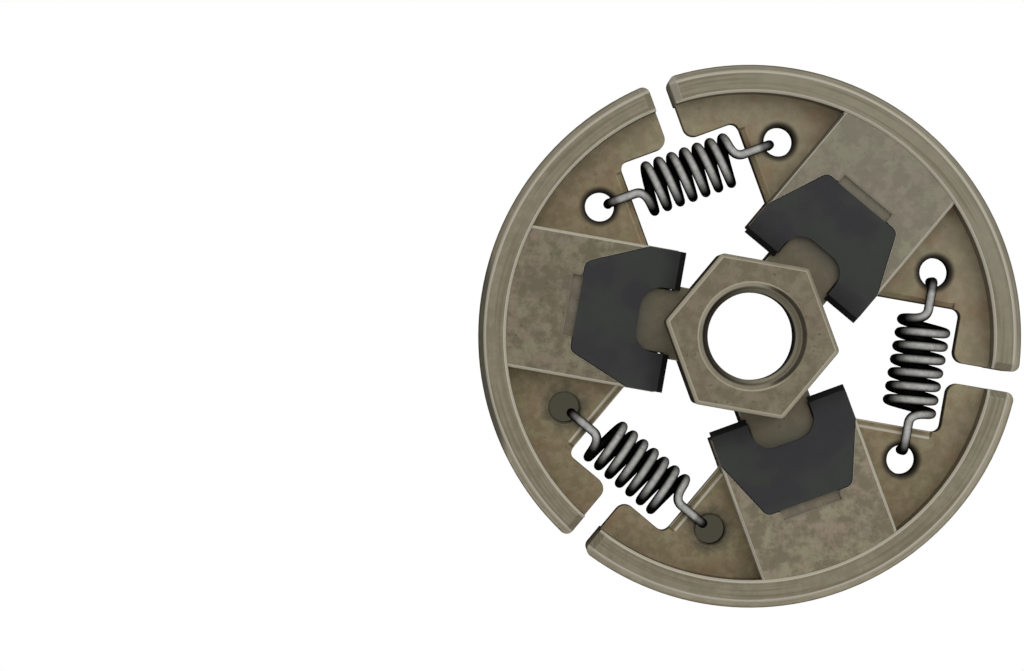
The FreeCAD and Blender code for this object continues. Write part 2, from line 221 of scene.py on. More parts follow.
# Where the pads' sides lose their painted highlight, on the side in painted shade
SHADED_SIDE_ALONG_SPAN = (3.0 * MM, 8.0 * MM)
SHADED_SIDE_SQUARE_SPAN = (3.0 * MM, 6.0 * MM)
INSIDE_SPAN = (RIM_INNER_R - 0.1 * MM, RIM_INNER_R - 0.4 * MM)
RIM_SPAN = (RIM_INNER_R + 0.2 * MM, RIM_INNER_R + 0.5 * MM)
RIM_FRONT_SPAN = (RIM_H - 1.3 * MM, RIM_H - 0.8 * MM)
RIM_END_SPAN = (RIM_END + 0.6 * MM, RIM_END + 0.2 * MM)
END_WALL_SPAN = (RIM_END - 0.2 * MM, RIM_END - 0.4 * MM)
CHAMFER_SPAN = (RIM_CHAMFER_R + 0.15 * MM, RIM_CHAMFER_R + 0.3 * MM)
CHAMFER_LINE_BAND = (RIM_CHAMFER_R - 0.08 * MM, RIM_CHAMFER_R + 0.18 * MM, 0.14 * MM)
# Side of the rim that gets painted shade
SHADED_SPAN = (31.0 * MM, 32.4 * MM)
BORDER_SPAN = (OUTER_R - 0.22 * MM, OUTER_R - 0.05 * MM)
NOTCH_START_SPAN = (PLATE_TOP_Y - 0.6 * MM, PLATE_TOP_Y - 0.3 * MM)
NOTCH_STOP_SPAN = (NOTCH_END + 0.4 * MM, NOTCH_END + 0.2 * MM)
NOTCH_BAND = (0.0, NOTCH_HALF + 0.3 * MM, 0.1 * MM)
SEAT_SPAN = (SEAT_TOP + 0.2 * MM, SEAT_TOP)
SEAT_FOOT_BAND = (SEAT_HALF - 0.1 * MM, SEAT_HALF + 0.12 * MM, 0.08 * MM)
SEAT_BROW_BAND = (SEAT_HALF + SEAT_BEVEL - 0.1 * MM, SEAT_HALF + SEAT_BEVEL + 0.15 * MM, 0.1 * MM)
# Painted shade at the hook holes: a ring at each, and a ragged patch at the two beside the second gap
HOLE_RING_SPAN = (HOOK_HOLE_R + 0.95 * MM, HOOK_HOLE_R + 0.25 * MM)
DARK_PATCH_SPAN = (4.5 * MM, 2.3 * MM)
DARK_PATCH_WAVE = 1.6 * MM
DARK_HOLES_SPAN = (-12.0 * MM, -16.0 * MM)

# On the carrier and the retainers
ARM_LEVEL_SPAN = (16.0 * MM, 12.0 * MM)
ARM_START_SPAN = (8.6 * MM, 9.4 * MM)
COVERED_SPAN = (11.4 * MM, 14.2 * MM)
BORE_SPAN = (THREAD_R + 0.3 * MM, THREAD_R + 0.1 * MM)
MOUTH_SPAN = (THREAD_R + 1.3 * MM, THREAD_R + 1.0 * MM)
BORE_LIGHT_SPAN = (-5.0 * MM, 3.0 * MM)
BORE_DEPTH_SPAN = (CARRIER_H - 1.8 * MM, CARRIER_H - 3.4 * MM)
PLASTIC_SPAN = (0.38, 0.62)
LEG_END_SPAN = (13.0 * MM, 9.9 * MM)


def srgb(red, green, blue):
    """Linear colour of a screen colour given in steps of 0 to 255."""
    screen = np.array([red, green, blue]) / 255.0
    linear = np.where(screen <= 0.04045, screen / 12.92, ((screen + 0.055) / 1.055) ** 2.4)
    return (*linear.tolist(), 1.0)


def grey(level):
    """Linear grey."""
    return (level, level, level, 1.0)


def coat(red, green, blue, cover):
    """A screen colour to be laid over another, and the share of the other that it covers."""
    return srgb(red, green, blue), cover


# Dark patches and pores of both steels
PATCH_COVER = 0.9
PORE_COAT = coat(70, 62, 50, 0.45)

# Shoe steel: green, brown and dark of its mottle, then its coats and gains, among them painted light and
# shade
SHOE_MOTTLE = (srgb(177, 172, 141), srgb(180, 163, 143), srgb(142, 132, 108))
# Painted light: paler toward the key light, on the side of the first arm
PAINTED_LIGHT_COAT = coat(184, 180, 163, 0.45)
WEB_COAT = coat(146, 130, 100, 0.45)
# Painted light on the webs, lifting them out of their shade, and more of it on the key light's side
WEB_GAIN = (1.27, 1.25, 1.16)
LIT_WEB_GAIN = (1.18, 1.2, 1.25)
RUST_COAT = coat(168, 126, 92, 0.35)
UPPER_LEFT_PAD_GAIN = (0.95, 0.95, 0.94)
LOWER_RIGHT_PAD_GAIN = (1.15, 1.15, 1.15)
RIM_COAT = coat(192, 184, 158, 0.5)
STREAK_COAT = coat(140, 129, 103, 0.5)
# Painted light on the rim's front chamfer, more in the lower half, and painted shade at the left
CHAMFER_GAIN = (1.45, 1.45, 1.48)
LOWER_CHAMFER_GAIN = (1.5, 1.5, 1.5)
SHADED_CHAMFER_GAIN = (0.45, 0.45, 0.45)
# Painted shade on the rim's inner wall; the notch's own tone, and painted light on its walls
INNER_WALL_SHADE_COAT = coat(84, 74, 56, 0.6)
NOTCH_COAT = coat(150, 142, 128, 0.5)
NOTCH_WALL_LIGHT_COAT = coat(232, 224, 204, 0.9)
# Painted light on the seats' slopes, and painted shade at their foot in the upper half
SEAT_LIGHT_GAIN = (1.45, 1.45, 1.45)
SEAT_FOOT_SHADE_COAT = coat(54, 47, 36, 0.8)
# Bright edges of the shoes: wear and painted highlight
SHOE_WEAR_HIGHLIGHT_COAT = coat(250, 242, 220, 0.95)
PLAIN_SHARE = 0.9
PAD_LINE_SHARE = 0.5
CHAMFER_LINE_SHARE = 0.9
# Painted shade on one pad side, and painted light on the rim's left-facing ends
PAD_SIDE_SHADE_COAT = coat(84, 72, 52, 0.85)
END_FACE_LIGHT_COAT = coat(244, 238, 218, 0.7)
BORDER_COAT = coat(88, 84, 64, 0.6)
# Painted shade at the hook holes
HOLE_RING_SHADE = srgb(46, 41, 33)
HOLE_PATCH_SHADE = srgb(104, 100, 84)
HOLE_SHADE_COVER = 0.93

# Carrier steel
CARRIER_MOTTLE = (srgb(170, 162, 133), srgb(170, 155, 133), srgb(148, 136, 111))
ARM_COAT = coat(134, 126, 104, 0.6)
COVERED_COAT = coat(114, 112, 102, 0.6)
# Painted shade on the carrier's walls
CARRIER_WALL_SHADE_COAT = coat(58, 52, 42, 0.7)
# Bright edges of the carrier: wear and painted highlight
CARRIER_WEAR_HIGHLIGHT_COAT = coat(240, 230, 204, 0.8)
LIGHTWARD_SHARE = 0.5
# Painted shade at the bore's mouth, painted shade and light across the thread, and black painted shade deep
# in the bore
MOUTH_SHADE_COAT = coat(72, 66, 52, 0.75)
BORE_DARK = srgb(52, 48, 40)
BORE_LIT = srgb(204, 196, 170)
BORE_COVER = 0.85
BORE_DEPTH_SHADE_COAT = coat(14, 12, 10, 0.9)

# Plastic, wire and stage
PLASTIC_COOL = srgb(67, 71, 66)
PLASTIC_WARM = srgb(59, 56, 61)
# Painted shade on the retainers' leg ends
LEG_END_SHADE_COAT = coat(24, 23, 25, 0.75)
# Spring wire: black, then its painted highlight and the highlight's brightest streaks
WIRE_BLACK = srgb(14, 14, 13)
WIRE_HIGHLIGHT = srgb(214, 213, 208)
WIRE_BRIGHT = srgb(244, 243, 239)
# Painted shadow on the floor under two hook holes
FLOOR_HOLE_SHADOW = srgb(73, 71, 60)
FLOOR_TABLE = grey(0.10)
TENT_LOW = grey(0.03)
TENT_HIGH = grey(0.36)
WHITE = grey(1.0)


def add(tree, kind, inputs=None, **settings):
    """A node with its settings, and its inputs set to constants or joined to other nodes' outputs."""
    made = tree.nodes.new(kind)
    for key, value in settings.items():
        setattr(made, key, value)
    for key, value in (inputs or {}).items():
        if isinstance(value, bpy.types.NodeSocket):
            tree.links.new(value, made.inputs[key])
        else:
            made.inputs[key].default_value = value
    return made


def maths(tree, operation, first, second=0.0, third=0.0):
    """Output of one Math node."""
    return add(tree, "ShaderNodeMath", {0: first, 1: second, 2: third}, operation=operation).outputs[0]


def vector_maths(tree, operation, first, second):
    """Outputs of one Vector Math node."""
    return add(tree, "ShaderNodeVectorMath", {0: first, 1: second}, operation=operation).outputs


def reach(tree, vector, way):
    """How far a vector reaches along a unit direction."""
    return vector_maths(tree, "DOT_PRODUCT", vector, way)["Value"]


def noise(tree, place, scale, detail, roughness):
    """Noise in space, with scale in features per metre."""
    inputs = {"Vector": place, "Scale": scale, "Detail": detail, "Roughness": roughness}
    return add(tree, "ShaderNodeTexNoise", inputs).outputs[0]


def ramp(tree, value, low, high):
    """Soft step from 0 where the value is low to 1 where it is high. Low may be the larger number."""
    node = add(tree, "ShaderNodeMapRange", {0: value, 1: low, 2: high}, interpolation_type="SMOOTHSTEP")
    return node.outputs[0]


def band(tree, value, low, high, soft):
    """Mask that is 1 between low and high and falls to 0 over a soft width on either side."""
    return both(tree, ramp(tree, value, low - soft, low), ramp(tree, value, high + soft, high))


def both(tree, first, *others):
    """Mask of what masks have in common: their product."""
    for other in others:
        first = maths(tree, "MULTIPLY", first, other)
    return first


def either(tree, first, *others):
    """Mask of what any of some masks holds: their greatest value."""
    for other in others:
        first = maths(tree, "MAXIMUM", first, other)
    return first


def outside(tree, mask):
    """Mask of what a mask leaves."""
    return maths(tree, "SUBTRACT", 1.0, mask)


def share(tree, mask, amount):
    """A mask turned down to a share of its strength."""
    return maths(tree, "MULTIPLY", mask, amount)


def tint(tree, factor, first, second):
    """Colour between first, at factor 0, and second, at factor 1."""
    node = add(tree, "ShaderNodeMix", {0: factor, 6: first, 7: second}, data_type="RGBA")
    return node.outputs[2]


def paint(tree, colour, mask, laid_coat):
    """A colour with a coat laid over it where the mask is 1."""
    over, cover = laid_coat
    return tint(tree, share(tree, mask, cover), colour, over)


def gain(tree, colour, mask, level):
    """A colour whose red, green and blue are raised or lowered by their levels where the mask is 1."""
    inputs = {0: mask, 6: colour, 7: (*level, 1.0)}
    return add(tree, "ShaderNodeMix", inputs, data_type="RGBA", blend_type="MULTIPLY").outputs[2]


def bump(tree, height, distance, strength):
    """Normal of a Bump node with a distance in metres."""
    node = add(tree, "ShaderNodeBump", {"Height": height, "Distance": distance, "Strength": strength})
    return node.outputs[0]


def new_group(name, entry):
    """Empty shader group with one vector for its input, and that input."""
    tree = bpy.data.node_groups.new(name, "ShaderNodeTree")
    tree.interface.new_socket(entry, in_out="INPUT", socket_type="NodeSocketVector")
    return tree, tree.nodes.new("NodeGroupInput").outputs[0]


def give_outputs(tree, values):
    """Outputs of a group, made from their labels and values."""
    for label in values:
        tree.interface.new_socket(label, in_out="OUTPUT", socket_type="NodeSocketFloat")
    leave = tree.nodes.new("NodeGroupOutput")
    for label, value in values.items():
        tree.links.new(value, leave.inputs[label])


def use_group(tree, group, inputs):
    """Outputs of a group placed in a material, with its inputs given."""
    return add(tree, "ShaderNodeGroup", inputs, node_tree=group).outputs


def hypotenuse(tree, first, second):
    """Root of the sum of two squares."""
    square = maths(tree, "MULTIPLY_ADD", first, first, maths(tree, "MULTIPLY", second, second))
    return maths(tree, "SQRT", square)


def make_arm_frame():
    """Group that folds a place about the axis onto one arm.

    The angle from the nearest arm gives the distances along and across that arm. The angle from the
    nearest gap gives the distance beside that gap, the distance out along it, and the distance to the hook
    hole there.
    """
    tree, entry = new_group("arm_frame", "Place")
    x, y, height = add(tree, "ShaderNodeSeparateXYZ", {0: entry}).outputs
    radius = hypotenuse(tree, x, y)
    angle = maths(tree, "SUBTRACT", maths(tree, "ARCTAN2", y, x), FIRST_ARM)
    turns = maths(tree, "ROUND", maths(tree, "DIVIDE", angle, PITCH))
    folded = maths(tree, "ABSOLUTE", maths(tree, "MULTIPLY_ADD", turns, -PITCH, angle))
    gap_angle = maths(tree, "SUBTRACT", PITCH / 2, folded)
    beside = maths(tree, "MULTIPLY", radius, maths(tree, "SINE", gap_angle))
    outward = maths(tree, "MULTIPLY", radius, maths(tree, "COSINE", gap_angle))
    hole_w = maths(tree, "SUBTRACT", beside, HOOK_HOLE_W)
    hole_v = maths(tree, "SUBTRACT", outward, SPRING_R)
    give_outputs(tree, {
        "Radius": radius,
        "Across": maths(tree, "MULTIPLY", radius, maths(tree, "SINE", folded)),
        "Along": maths(tree, "MULTIPLY", radius, maths(tree, "COSINE", folded)),
        "Beside": beside,
        "Outward": outward,
        "From Hole": hypotenuse(tree, hole_w, hole_v),
        "Height": height,
    })
    return tree


def make_sinter_grain():
    """Group for pressed and sintered steel: broad and fine mottling, hue, pores and the grain's height."""
    pore_depth = 0.8
    tree, place = new_group("sinter_grain", "Place")
    shifted = add(tree, "ShaderNodeMapping", {0: place, 1: HUE_SHIFT}).outputs[0]
    pores = ramp(tree, noise(tree, place, *PORE_NOISE), *PORE_SPAN)
    grain = noise(tree, place, *GRAIN_NOISE)
    give_outputs(tree, {
        "Mottle": noise(tree, place, *MOTTLE_NOISE),
        "Fine": noise(tree, place, *FINE_NOISE),
        "Hue": noise(tree, shifted, *HUE_NOISE),
        "Pores": pores,
        "Height": maths(tree, "MULTIPLY_ADD", pores, -pore_depth, grain),
    })
    return tree


def make_edge_turn():
    """Group that masks a surface by the way it faces.

    Edge is where an eased edge turns from level to upright, Upright is a wall, Leftward faces -X, and Upper
    Left faces square to the first arm.
    """
    tree, normal = new_group("edge_turn", "Normal")
    sides = add(tree, "ShaderNodeSeparateXYZ", {0: normal}).outputs
    tilt = maths(tree, "ABSOLUTE", sides["Z"])
    give_outputs(tree, {
        "Edge": band(tree, tilt, *EDGE_BAND),
        "Upright": ramp(tree, tilt, *UPRIGHT_SPAN),
        "Leftward": ramp(tree, sides["X"], *LEFTWARD_SPAN),
        "Upper Left": ramp(tree, reach(tree, normal, SQUARE_WAY), *UPPER_LEFT_SPAN),
    })
    return tree


def new_material(name):
    """Material with its Principled shader and its surface coordinates."""
    material = bpy.data.materials.new(name)
    material.use_nodes = True
    tree = material.node_tree
    shader = tree.nodes["Principled BSDF"]
    where = tree.nodes.new("ShaderNodeTexCoord")
    return material, tree, shader, where


def steel_surface(tree, where, arm_frame, sinter_grain, edge_turn):
    """Place on a steel surface, and what the three groups give there."""
    place = where.outputs["Object"]
    spot = use_group(tree, arm_frame, {"Place": place})
    grain = use_group(tree, sinter_grain, {"Place": place})
    turn = use_group(tree, edge_turn, {"Normal": where.outputs["Normal"]})
    return place, spot, grain, turn


def sinter_colour(tree, grain, green, brown, dark):
    """Mottled colour of sintered steel: green to brown by hue, and darker in broad and fine patches."""
    fine_share = 0.75
    colour = tint(tree, ramp(tree, grain["Hue"], *HUE_SPAN), green, brown)
    broad = share(tree, grain["Mottle"], 1.0 - fine_share)
    patches = ramp(tree, maths(tree, "MULTIPLY_ADD", grain["Fine"], fine_share, broad), *PATCH_SPAN)
    colour = paint(tree, colour, patches, (dark, PATCH_COVER))
    return paint(tree, colour, grain["Pores"], PORE_COAT)


def finish_steel(tree, shader, grain, colour, wear_and_highlight):
    """Join a steel's shader to its colour, its mottled roughness, its metal and the bump of its grain.

    Worn edges, which also carry painted highlights, have no metal in the shader, so that they stay bright in
    the even light.
    """
    metal = 0.35
    rough = maths(tree, "MULTIPLY_ADD", grain["Mottle"], *STEEL_ROUGH)
    tree.links.new(colour, shader.inputs["Base Color"])
    tree.links.new(rough, shader.inputs["Roughness"])
    tree.links.new(maths(tree, "MULTIPLY_ADD", wear_and_highlight, -metal, metal), shader.inputs["Metallic"])
    tree.links.new(bump(tree, grain["Height"], *STEEL_BUMP), shader.inputs["Normal"])


def shoe_regions(tree, place, spot):
    """Masks of the shoes' regions, and distances along and square to the first arm."""
    part = SimpleNamespace()
    part.toward = reach(tree, place, ARM_WAY)
    part.beyond = reach(tree, place, SQUARE_WAY)
    part.upper = ramp(tree, reach(tree, place, UP_WAY), *UPPER_SPAN)
    part.lower = outside(tree, part.upper)
    part.web = ramp(tree, spot["Height"], *WEB_SPAN)
    part.rim = ramp(tree, spot["Radius"], *RIM_SPAN)
    part.rim_front = ramp(tree, spot["Height"], *RIM_FRONT_SPAN)
    part.rim_end = both(tree, part.rim, ramp(tree, spot["Beside"], *RIM_END_SPAN))
    part.inside = ramp(tree, spot["Radius"], *INSIDE_SPAN)
    part.pad = outside(tree, either(tree, part.web, part.rim))
    part.chamfer = ramp(tree, spot["Radius"], *CHAMFER_SPAN)
    part.shaded = ramp(tree, reach(tree, place, SHADED_WAY), *SHADED_SPAN)
    part.lit_front = both(tree, part.rim_front, outside(tree, part.shaded))
    part.notch = both(tree, band(tree, spot["Across"], *NOTCH_BAND),
                      ramp(tree, spot["Along"], *NOTCH_START_SPAN),
                      ramp(tree, spot["Along"], *NOTCH_STOP_SPAN))
    part.seat = both(tree, part.web, ramp(tree, spot["Outward"], *SEAT_SPAN))
    part.seat_foot = both(tree, part.seat, band(tree, spot["Beside"], *SEAT_FOOT_BAND))
    part.seat_brow = both(tree, part.seat, band(tree, spot["Beside"], *SEAT_BROW_BAND))
    return part


def turning_streaks(tree, place, spot):
    """Mask of a lathe's marks round the rim: noise drawn out round the axis.

    The marks lie across the rim's profile, by the radius plus the depth under the front, so that they go on
    down its outer wall.
    """
    depth = maths(tree, "SUBTRACT", RIM_H, spot["Height"])
    profile = share(tree, maths(tree, "ADD", spot["Radius"], depth), STREAK_ACROSS)
    across = add(tree, "ShaderNodeCombineXYZ", {2: profile}).outputs[0]
    drawn_out = vector_maths(tree, "MULTIPLY", place, STREAK_ROUND)[0]
    streak_place = vector_maths(tree, "ADD", drawn_out, across)[0]
    return ramp(tree, noise(tree, streak_place, *STREAK_NOISE), *STREAK_SPAN)


def shoe_ground(tree, place, spot, grain, part):
    """Colour of the shoes' steel under its wear: paler with painted light toward the key light, with brown
    webs and a pale rim.
    """
    colour = sinter_colour(tree, grain, *SHOE_MOTTLE)
    colour = paint(tree, colour, ramp(tree, part.toward, *LIT_SPAN), PAINTED_LIGHT_COAT)
    colour = paint(tree, colour, part.web, WEB_COAT)
    # Painted light: the webs brightened out of their shade, and more on the key light's side
    colour = gain(tree, colour, part.web, WEB_GAIN)
    lit_web = both(tree, part.web, ramp(tree, part.toward, *LIT_WEB_SPAN),
                   ramp(tree, spot["Radius"], *OUTER_WEB_SPAN))
    colour = gain(tree, colour, lit_web, LIT_WEB_GAIN)
    rust = both(tree, part.web, ramp(tree, grain["Mottle"], *RUST_SPAN))
    colour = paint(tree, colour, rust, RUST_COAT)
    upper_left = both(tree, part.pad, ramp(tree, part.beyond, *UPPER_LEFT_PAD_SPAN))
    colour = gain(tree, colour, upper_left, UPPER_LEFT_PAD_GAIN)
    lower_right = both(tree, part.pad, ramp(tree, part.beyond, *LOWER_RIGHT_PAD_SPAN))
    colour = gain(tree, colour, lower_right, LOWER_RIGHT_PAD_GAIN)
    colour = paint(tree, colour, part.rim, RIM_COAT)
    return paint(tree, colour, both(tree, part.rim, turning_streaks(tree, place, spot)), STREAK_COAT)


def shoe_wear_and_highlights(tree, spot, turn, part):
    """Mask of bright edges, partly wear and partly painted highlight: eased edges, the lower seats' lines,
    the pads' sides and the chamfer's start.
    """
    plain = either(tree, part.chamfer, part.rim_end, part.notch)
    plain = either(tree, share(tree, plain, PLAIN_SHARE), part.web)
    edges = both(tree, turn["Edge"], outside(tree, plain))
    # Painted highlight by the light's side: the seats' lines only in the lower half, the pads' line not on
    # the shaded side, the chamfer's line only where its front is lit
    seat_lines = both(tree, part.lower, either(tree, part.seat_foot, part.seat_brow))
    shaded_side = both(tree, ramp(tree, part.toward, *SHADED_SIDE_ALONG_SPAN),
                     ramp(tree, part.beyond, *SHADED_SIDE_SQUARE_SPAN))
    pad_line = both(tree, band(tree, spot["Across"], *PAD_LINE_BAND), part.pad, part.inside,
                    outside(tree, shaded_side))
    chamfer_line = both(tree, band(tree, spot["Radius"], *CHAMFER_LINE_BAND), part.lit_front)
    return either(tree, edges, seat_lines, share(tree, pad_line, PAD_LINE_SHARE),
                  share(tree, chamfer_line, CHAMFER_LINE_SHARE))


def shade_chamfer(tree, colour, part):
    """A colour with painted light on the rim's front chamfer, most of all in the lower half, and painted
    shade at the left.
    """
    lit = both(tree, part.chamfer, part.lit_front)
    colour = gain(tree, colour, lit, CHAMFER_GAIN)
    colour = gain(tree, colour, both(tree, lit, part.lower), LOWER_CHAMFER_GAIN)
    dark = both(tree, part.chamfer, part.rim_front, part.shaded)
    return gain(tree, colour, dark, SHADED_CHAMFER_GAIN)


def shade_walls(tree, colour, turn, part):
    """A colour with painted shade on the rim's inner wall, a pale notch with painted light on its walls, and
    painted light that makes the slopes of the spring seats paler.

    On the seats of the upper half the foot of the slope is dark with painted shade.
    """
    inner_wall = both(tree, turn["Upright"], outside(tree, part.rim))
    colour = paint(tree, colour, inner_wall, INNER_WALL_SHADE_COAT)
    colour = paint(tree, colour, part.notch, NOTCH_COAT)
    colour = paint(tree, colour, both(tree, part.notch, turn["Upright"]), NOTCH_WALL_LIGHT_COAT)
    colour = gain(tree, colour, both(tree, part.seat, turn["Edge"]), SEAT_LIGHT_GAIN)
    return paint(tree, colour, both(tree, part.seat_foot, part.upper), SEAT_FOOT_SHADE_COAT)


def shade_edges(tree, colour, spot, turn, part):
    """A colour with painted shade on one pad side, painted light on left rim ends in the upper half, and the
    rim's border dark.
    """
    shaded_pad_side = both(tree, band(tree, spot["Across"], *PAD_SIDE_SHADE_BAND), turn["Upper Left"], turn["Edge"], part.inside)
    colour = paint(tree, colour, shaded_pad_side, PAD_SIDE_SHADE_COAT)
    end_wall = both(tree, turn["Upright"], ramp(tree, spot["Beside"], *END_WALL_SPAN))
    end_face = either(tree, end_wall, both(tree, part.rim_end, turn["Edge"]))
    colour = paint(tree, colour, both(tree, end_face, turn["Leftward"], part.upper), END_FACE_LIGHT_COAT)
    border = both(tree, part.rim_front, ramp(tree, spot["Radius"], *BORDER_SPAN))
    return paint(tree, colour, border, BORDER_COAT)


def shade_hook_holes(tree, colour, spot, grain, part):
    """A colour with a dark ring of painted shade at each hook hole, and a ragged dark patch of painted shade
    at the two beside the second gap.
    """
    ring = ramp(tree, spot["From Hole"], *HOLE_RING_SPAN)
    ragged = maths(tree, "MULTIPLY_ADD", grain["Fine"], DARK_PATCH_WAVE, spot["From Hole"])
    dark_patch = ramp(tree, ragged, *DARK_PATCH_SPAN)
    dark_holes = ramp(tree, part.toward, *DARK_HOLES_SPAN)
    spread = add(tree, "ShaderNodeMix", {0: dark_holes, 2: ring, 3: dark_patch}).outputs[0]
    hole_shade = tint(tree, dark_holes, HOLE_RING_SHADE, HOLE_PATCH_SHADE)
    return tint(tree, share(tree, spread, HOLE_SHADE_COVER), colour, hole_shade)


def make_shoe_steel(arm_frame, sinter_grain, edge_turn):
    """Brown-grey sintered steel of the shoes, with its turned rim, worn edges, painted light and shade, and
    painted shade at the hook holes.
    """
    material, tree, shader, where = new_material("shoe_sinter")
    place, spot, grain, turn = steel_surface(tree, where, arm_frame, sinter_grain, edge_turn)
    part = shoe_regions(tree, place, spot)
    wear_and_highlight = shoe_wear_and_highlights(tree, spot, turn, part)
    colour = shoe_ground(tree, place, spot, grain, part)
    colour = shade_chamfer(tree, colour, part)
    colour = shade_walls(tree, colour, turn, part)
    colour = paint(tree, colour, wear_and_highlight, SHOE_WEAR_HIGHLIGHT_COAT)
    colour = shade_edges(tree, colour, spot, turn, part)
    colour = shade_hook_holes(tree, colour, spot, grain, part)
    finish_steel(tree, shader, grain, colour, wear_and_highlight)
    return material


def make_carrier_steel(arm_frame, sinter_grain, edge_turn):
    """Steel of the carrier, a little darker than the shoes.

    The arms are darker than the hexagon, most of all toward the plates, and the edges are bright with wear
    and painted highlight, less so where they face the key light. The walls are dark with painted shade, and
    so is the mouth of the bore where it faces left. The thread has painted shade at the left and painted
    light at the right, and is black with painted shade deeper down.
    """
    material, tree, shader, where = new_material("carrier_sinter")
    place, spot, grain, turn = steel_surface(tree, where, arm_frame, sinter_grain, edge_turn)
    low = ramp(tree, spot["Height"], *ARM_LEVEL_SPAN)
    on_arm = both(tree, low, ramp(tree, spot["Along"], *ARM_START_SPAN))
    in_bore = ramp(tree, spot["Radius"], *BORE_SPAN)
    left_mouth = both(tree, turn["Leftward"], ramp(tree, spot["Radius"], *MOUTH_SPAN))
    # Edges that face the key light get less of the bright coat
    lightward = ramp(tree, reach(tree, where.outputs["Normal"], ARM_WAY), *LIGHTWARD_SPAN)
    plain = either(tree, on_arm, in_bore, left_mouth, share(tree, lightward, LIGHTWARD_SHARE))
    wear_and_highlight = both(tree, turn["Edge"], outside(tree, plain))
    colour = sinter_colour(tree, grain, *CARRIER_MOTTLE)
    colour = paint(tree, colour, low, ARM_COAT)
    colour = paint(tree, colour, ramp(tree, spot["Along"], *COVERED_SPAN), COVERED_COAT)
    # Painted shade on the walls
    colour = paint(tree, colour, turn["Upright"], CARRIER_WALL_SHADE_COAT)
    colour = paint(tree, colour, wear_and_highlight, CARRIER_WEAR_HIGHLIGHT_COAT)
    # Painted shade on the left of the bore's mouth, painted shade and light across the thread, and black
    # painted shade deep in the bore
    colour = paint(tree, colour, both(tree, left_mouth, turn["Edge"]), MOUTH_SHADE_COAT)
    bore_light = ramp(tree, reach(tree, place, RIGHT_WAY), *BORE_LIGHT_SPAN)
    bore_colour = tint(tree, bore_light, BORE_DARK, BORE_LIT)
    colour = tint(tree, share(tree, in_bore, BORE_COVER), colour, bore_colour)
    deep_shade = both(tree, in_bore, ramp(tree, spot["Height"], *BORE_DEPTH_SPAN))
    colour = paint(tree, colour, deep_shade, BORE_DEPTH_SHADE_COAT)
    finish_steel(tree, shader, grain, colour, wear_and_highlight)
    return material


def make_retainer_plastic(arm_frame):
    """Charcoal moulded plastic, satin, with a faint cool and warm mottle, and painted shade on the leg ends.
    """
    material, tree, shader, where = new_material("retainer_plastic")
    place = where.outputs["Object"]
    spot = use_group(tree, arm_frame, {"Place": place})
    broad = noise(tree, place, *PLASTIC_BROAD_NOISE)
    fine = noise(tree, place, *PLASTIC_FINE_NOISE)
    colour = tint(tree, ramp(tree, broad, *PLASTIC_SPAN), PLASTIC_COOL, PLASTIC_WARM)
    # Painted shade on the leg ends
    colour = paint(tree, colour, ramp(tree, spot["Along"], *LEG_END_SPAN), LEG_END_SHADE_COAT)
    tree.links.new(colour, shader.inputs["Base Color"])
    tree.links.new(maths(tree, "MULTIPLY_ADD", fine, *PLASTIC_ROUGH), shader.inputs["Roughness"])
    tree.links.new(bump(tree, fine, *PLASTIC_BUMP), shader.inputs["Normal"])
    return material


def make_spring_wire():
    """Drawn spring steel: black wire with a painted highlight on its outer side, which carries fine streaks.
    """
    material, tree, shader, where = new_material("spring_wire")
    # Painted highlight of the wire, read from its points
    painted_highlight = add(tree, "ShaderNodeAttribute", attribute_name="painted_highlight").outputs["Fac"]
    streak = noise(tree, where.outputs["Object"], *WIRE_NOISE)
    bright = tint(tree, ramp(tree, streak, *WIRE_STREAK_SPAN), WIRE_HIGHLIGHT, WIRE_BRIGHT)
    tree.links.new(tint(tree, painted_highlight, WIRE_BLACK, bright), shader.inputs["Base Color"])
    tree.links.new(maths(tree, "MULTIPLY_ADD", streak, *WIRE_ROUGH), shader.inputs["Roughness"])
    sheen = maths(tree, "MULTIPLY_ADD", painted_highlight, *WIRE_SHEEN)
    tree.links.new(sheen, shader.inputs["Specular IOR Level"])
    return material


def mesh_object(name, mesh, material):
    """Object at the origin for a finished mesh."""
    mesh.materials.clear()
    mesh.materials.append(material)
    piece = bpy.data.objects.new(name, mesh)
    bpy.context.scene.collection.objects.link(piece)
    return piece


def eased_copy(node, body, material, width):
    """A CAD node's shape with its outer edges eased by a narrow bevel.

    The loose triangles are merged, level ones are joined, and each sharp edge that stands outward gets a
    bevel of the given width. Slivers are dissolved. The bevel counts as weak in the normals, so that the
    faces beside it stay flat.
    """
    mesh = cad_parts[node].data.copy()
    work = bmesh.new()
    work.from_mesh(mesh)
    bmesh.ops.remove_doubles(work, verts=work.verts, dist=MERGE)
    bmesh.ops.dissolve_limit(work, angle_limit=LEVEL, verts=work.verts, edges=work.edges)
    for face in work.faces:
        face.smooth = True
    for edge in work.edges:
        edge.smooth = edge.calc_face_angle(0.0) < SHARP
    outer = [edge for edge in work.edges if edge.is_convex and not edge.smooth]
    bmesh.ops.bevel(work, geom=outer, affect="EDGES", offset_type="OFFSET", offset=width, segments=2,
                    profile=0.5, clamp_overlap=True, loop_slide=True, material=-1, face_strength_mode="ALL")
    bmesh.ops.dissolve_degenerate(work, dist=SLIVER, edges=work.edges)
    work.normal_update()
    bmesh.ops.triangulate(work, faces=work.faces, ngon_method="EAR_CLIP")
    work.to_mesh(mesh)
    work.free()
    piece = mesh_object(node + "_finish", mesh, material)
    level = piece.modifiers.new("level_faces", "WEIGHTED_NORMAL")
    level.keep_sharp = True
    level.use_face_influence = True
    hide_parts(node)
    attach(piece, body)


def rise(values, low, high):
    """Straight step from 0 where the values are low to 1 where they are high."""
    return np.clip((values - low) / (high - low), 0.0, 1.0)


